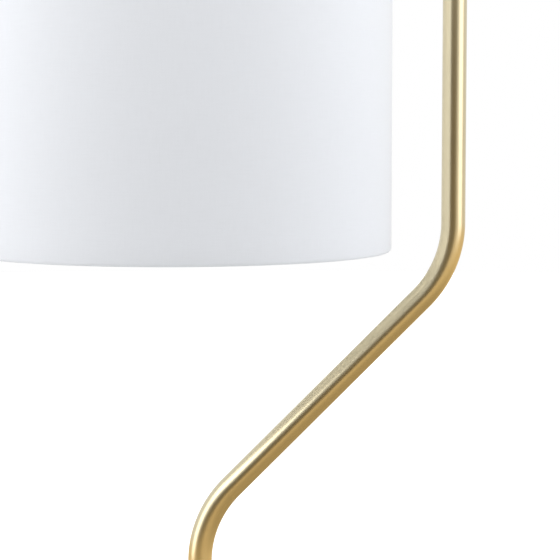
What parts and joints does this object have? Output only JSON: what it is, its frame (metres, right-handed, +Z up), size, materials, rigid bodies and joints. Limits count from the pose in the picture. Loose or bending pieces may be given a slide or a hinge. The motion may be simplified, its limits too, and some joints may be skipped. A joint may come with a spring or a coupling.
{
  "type": "arc floor lamp",
  "caption": "Floor lamp: round weighted base, tube pole with a slanted kink, an arc over the top, and a drum shade hanging from it.",
  "frame": {"origin": "on the floor, at the centre of the base's underside, which is the lower pole's axis", "axes": "+Z up; the pole bends in the XZ plane, with +X the side that the pole is kinked to; +Y is the back, where the mains cord enters the base; the switch knob is at the front, -Y"},
  "size_m": [0.4179, 0.356, 1.6352],
  "materials": {
    "satin_brass": "brushed satin",
    "cast_iron": "rough cast",
    "zinc_steel": "zinc plated",
    "brass_fittings": "plain turned",
    "felt": "felt",
    "black_rubber": "matt",
    "white_nylon": "moulded",
    "clear_lead": "soft pvc",
    "socket_plastic": "moulded",
    "nickel": "nickel plated",
    "white_wire": "powder coated",
    "shade_liner": "matt",
    "shade_cloth": "fine plain weave",
    "bulb_plastic": "satin",
    "bulb_globe": "opal"
  },
  "bodies": {
    "stand": {"base_pad": "felt", "base_weight": "cast_iron", "base_cover": "satin_brass", "base_stud": "zinc_steel", "base_flat_washer": "zinc_steel", "base_lock_washer": "zinc_steel", "base_nut": "zinc_steel", "base_collar": "satin_brass", "cord_grommet": "black_rubber", "terminal_block": "white_nylon", "block_screw": "zinc_steel", "terminal_screws": "brass_fittings", "lower_tube": "satin_brass", "middle_tube": "satin_brass", "angled_tube": "satin_brass", "arc_tube": "satin_brass", "lower_tube_bottom_insert": "zinc_steel", "lower_tube_top_insert": "zinc_steel", "middle_tube_bottom_insert": "zinc_steel", "middle_tube_top_insert": "zinc_steel", "angled_tube_bottom_insert": "zinc_steel", "angled_tube_top_insert": "zinc_steel", "arc_tube_bottom_insert": "zinc_steel", "arc_tube_socket_insert": "zinc_steel", "lower_joint_nipple": "zinc_steel", "middle_joint_nipple": "zinc_steel", "upper_joint_nipple": "zinc_steel", "socket_nipple": "zinc_steel", "internal_lead": "clear_lead", "socket_cup": "satin_brass", "socket_housing": "socket_plastic", "screw_shell": "nickel", "centre_contact": "brass_fittings", "socket_locknut": "zinc_steel", "switch_block": "socket_plastic", "socket_screws": "zinc_steel", "switch_bushing": "satin_brass"},
    "switch": {"switch_shaft": "zinc_steel", "switch_knob": "satin_brass"},
    "shade": {"shade_spider": "white_wire", "shade_bottom_hoop": "white_wire", "shade_liner": "shade_liner", "shade_fabric": "shade_cloth"},
    "fitter_ring": {"shade_ring": "socket_plastic"},
    "bulb": {"bulb_cap": "nickel", "bulb_contact": "brass_fittings", "bulb_body": "bulb_plastic", "bulb_globe": "bulb_globe"}
  },
  "joints": [
    {"name": "switch_turn", "type": "hinge", "parent": "stand", "child": "switch", "pos_m": [-0.018, -0.03, 1.4542], "axis": [0, -1, 0], "continuous": true},
    {"name": "shade_turn", "type": "hinge", "parent": "stand", "child": "shade", "pos_m": [-0.018, 0, 1.4192], "axis": [0, 0, 1], "continuous": true},
    {"name": "fitter_ring_turn", "type": "hinge", "parent": "stand", "child": "fitter_ring", "pos_m": [-0.018, 0, 1.4136], "axis": [0, 0, 1], "continuous": true},
    {"name": "bulb_out", "type": "slide", "parent": "stand", "child": "bulb", "axis": [0, 0, -1], "range_m": [0, 0.03]}
  ]
}
